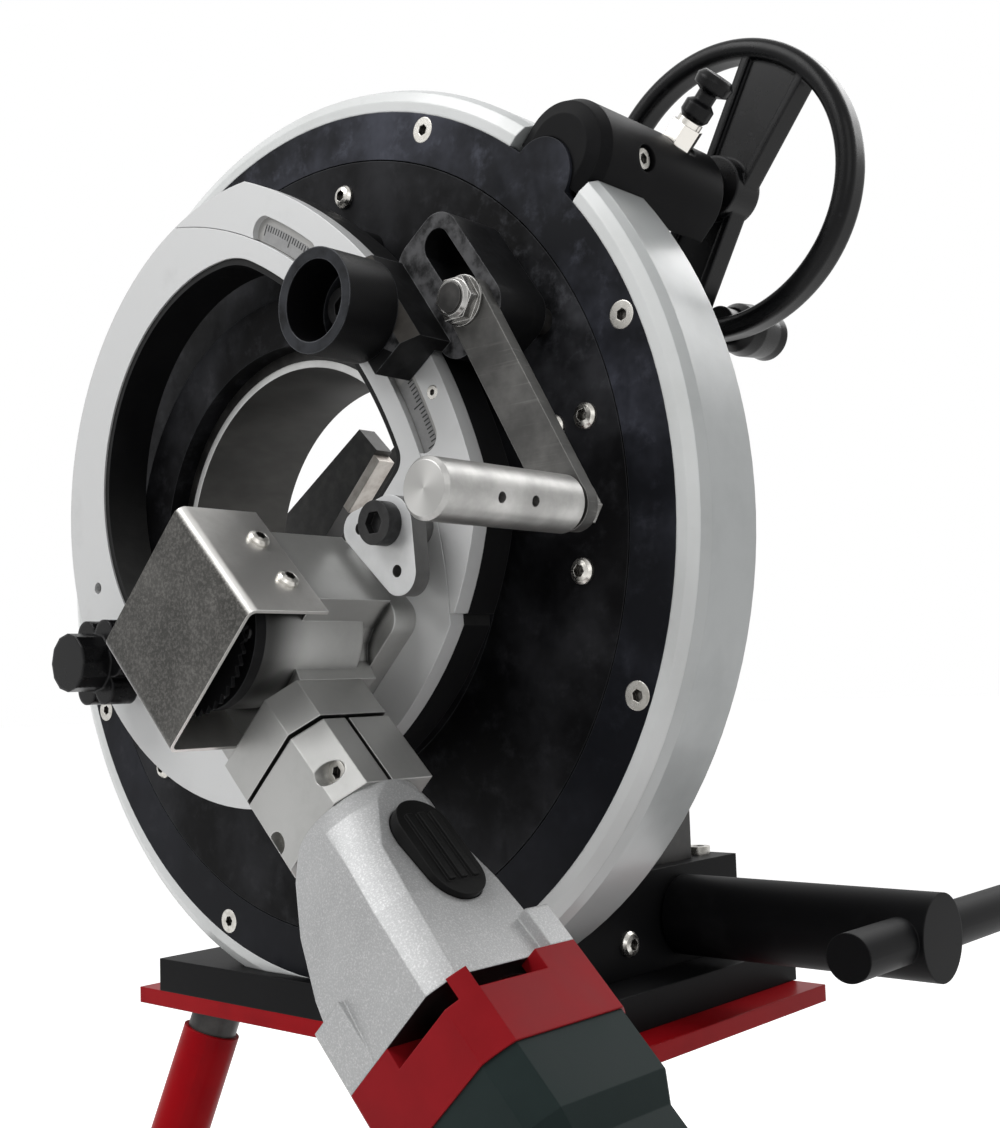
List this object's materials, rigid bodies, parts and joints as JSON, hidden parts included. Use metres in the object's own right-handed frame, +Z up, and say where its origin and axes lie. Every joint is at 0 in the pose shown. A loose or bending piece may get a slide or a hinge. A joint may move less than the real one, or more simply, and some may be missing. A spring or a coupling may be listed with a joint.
{
  "type": "orbital pipe cutter",
  "caption": "Orbital pipe cutter: a hand-cranked ring carries a swinging motor saw round a pipe held in a vise, on a tripod stand",
  "frame": {"origin": "on the pipe axis, in the ring's front plane", "axes": "+Y along the pipe axis to the back, +X to the right seen from the front, +Z up"},
  "size_m": [0.5562, 0.4495, 0.8265],
  "materials": {
    "ring_white": "gloss white enamel",
    "black_anodised": "satin blue-black anodised",
    "black_paint": "satin black",
    "silver_face": "bead-blasted",
    "cast_alloy": "satin machined",
    "steel": "machined",
    "dark_steel": "black oxide",
    "nickel": "nickel plated",
    "bronze": "turned bronze",
    "red_paint": "semi-gloss red",
    "red_plastic": "moulded",
    "green_plastic": "fine texture",
    "black_plastic": "moulded",
    "case_silver": "speckled die casting",
    "sheet_steel": "bent stainless sheet",
    "copper_core": "wound laminations",
    "foot_rubber": "matt"
  },
  "bodies": {
    "frame": {"ring_housing": "ring_white", "rear_cover": "ring_white", "retaining_ring": "black_anodised", "frame_screws": "steel", "bore_sleeve": "steel", "frame_bushes": "bronze", "pinion_housing": "black_paint", "plunger_body": "nickel", "base_plate": "black_paint", "vise_bed": "black_paint", "stand_plate": "red_paint", "leg_sockets": "dark_steel", "stand_legs": "red_paint", "leg_feet": "foot_rubber"},
    "rotor": {"rotor_disc": "black_anodised", "rotor_bush": "dark_steel", "ring_gear": "dark_steel", "rotor_screws": "steel", "guide_carrier": "black_anodised", "guide_band": "silver_face", "rotor_studs": "steel"},
    "carriage": {"swing_plate": "silver_face", "swing_backing": "black_anodised", "feed_block": "black_paint", "stop_plate": "silver_face", "gear_head": "cast_alloy", "gear_cover": "black_paint", "carriage_screws": "dark_steel", "head_bearings": "dark_steel", "neck_clamp": "cast_alloy", "blade_guard": "sheet_steel", "gearbox_case": "case_silver", "motor_collar": "red_plastic", "motor_body": "green_plastic", "motor_end_cap": "green_plastic", "motor_stator": "dark_steel"},
    "blade": {"saw_blade": "steel", "blade_arbor": "dark_steel", "blade_nut": "steel"},
    "lay_shaft_body": {"lay_shaft": "dark_steel"},
    "armature": {"motor_spindle": "dark_steel", "armature_core": "copper_core", "cooling_fan": "black_plastic"},
    "lock_button_body": {"lock_button": "black_plastic"},
    "switch": {"slide_switch": "black_plastic"},
    "push_knob_body": {"push_knob": "black_paint"},
    "star_knob_body": {"star_knob": "black_plastic"},
    "lever": {"clamp_lever": "steel", "lever_fasteners": "steel", "lever_handle": "cast_alloy"},
    "pinion": {"pinion_shaft": "dark_steel"},
    "drive": {"handwheel": "black_paint", "wheel_shaft": "dark_steel"},
    "grip": {"wheel_grip": "black_plastic"},
    "plunger": {"index_plunger": "black_plastic"},
    "spindle": {"clamp_spindle": "black_paint"},
    "left_jaw": {"jaw_left": "dark_steel", "pads_left": "steel"},
    "right_jaw": {"jaw_right": "dark_steel", "pads_right": "steel"}
  },
  "joints": [
    {"name": "orbit", "type": "hinge", "parent": "frame", "child": "rotor", "pos_m": [0, 0, 0], "axis": [0, 1, 0], "continuous": true},
    {"name": "feed", "type": "hinge", "parent": "rotor", "child": "carriage", "pos_m": [-0.087, 0, -0.053], "axis": [0, 1, 0], "range_deg": [0, 7.5]},
    {"name": "motor_spin", "type": "hinge", "parent": "carriage", "child": "armature", "pos_m": [0.13895, -0.088, -0.1439], "axis": [0.7071, 0, -0.7071], "continuous": true},
    {"name": "lay_spin", "type": "hinge", "parent": "carriage", "child": "lay_shaft_body", "pos_m": [0.05452, -0.088, -0.05947], "axis": [0, 1, 0], "continuous": true},
    {"name": "blade_spin", "type": "hinge", "parent": "carriage", "child": "blade", "pos_m": [0.06831, -0.088, -0.04568], "axis": [0, 1, 0], "continuous": true},
    {"name": "lock_press", "type": "slide", "parent": "carriage", "child": "lock_button_body", "axis": [-0.7071, 0, -0.7071], "range_m": [0, 0.0025], "stiffness_N_per_m": 600, "springref_m": -0.001},
    {"name": "switch_slide", "type": "slide", "parent": "carriage", "child": "switch", "axis": [0.7071, 0, -0.7071], "range_m": [0, 0.007]},
    {"name": "push_knob_turn", "type": "hinge", "parent": "carriage", "child": "push_knob_body", "pos_m": [0.10356, -0.079, 0.08282], "axis": [0, 1, 0], "continuous": true},
    {"name": "star_knob_turn", "type": "hinge", "parent": "rotor", "child": "star_knob_body", "pos_m": [-0.087, -0.066, -0.053], "axis": [0, 1, 0], "continuous": true},
    {"name": "lever_turn", "type": "hinge", "parent": "rotor", "child": "lever", "pos_m": [0.14351, -0.045, 0.08224], "axis": [0, 1, 0], "range_deg": [-45, 5]},
    {"name": "pinion_turn", "type": "hinge", "parent": "frame", "child": "pinion", "pos_m": [0.15468, 0.04, 0.15468], "axis": [0, 1, 0], "continuous": true},
    {"name": "wheel_turn", "type": "hinge", "parent": "frame", "child": "drive", "pos_m": [0.16246, 0.119, 0.16246], "axis": [0, 1, 0], "continuous": true},
    {"name": "grip_turn", "type": "hinge", "parent": "drive", "child": "grip", "pos_m": [0.15587, 0.166, 0.0998], "axis": [0, 1, 0], "continuous": true},
    {"name": "plunger_pull", "type": "slide", "parent": "frame", "child": "plunger", "axis": [0.7071, 0, 0.7071], "range_m": [0, 0.006], "stiffness_N_per_m": 600, "springref_m": -0.001},
    {"name": "spindle_turn", "type": "hinge", "parent": "frame", "child": "spindle", "pos_m": [0, 0.125, -0.184], "axis": [1, 0, 0], "range_deg": [0, 3600]},
    {"name": "jaw_left_slide", "type": "slide", "parent": "frame", "child": "left_jaw", "axis": [1, 0, 0], "range_m": [0, 0.06]},
    {"name": "jaw_right_slide", "type": "slide", "parent": "frame", "child": "right_jaw", "axis": [-1, 0, 0], "range_m": [0, 0.06]}
  ],
  "couplings": [
    {"joint": "pinion_turn", "follows": "orbit", "ratio": -12.462},
    {"joint": "wheel_turn", "follows": "orbit", "ratio": -37.385},
    {"joint": "lay_spin", "follows": "motor_spin", "ratio": -0.41667},
    {"joint": "blade_spin", "follows": "motor_spin", "ratio": 0.16369},
    {"joint": "jaw_left_slide", "follows": "spindle_turn", "m_per_rad": 0.00095493},
    {"joint": "jaw_right_slide", "follows": "spindle_turn", "m_per_rad": 0.00095493}
  ]
}
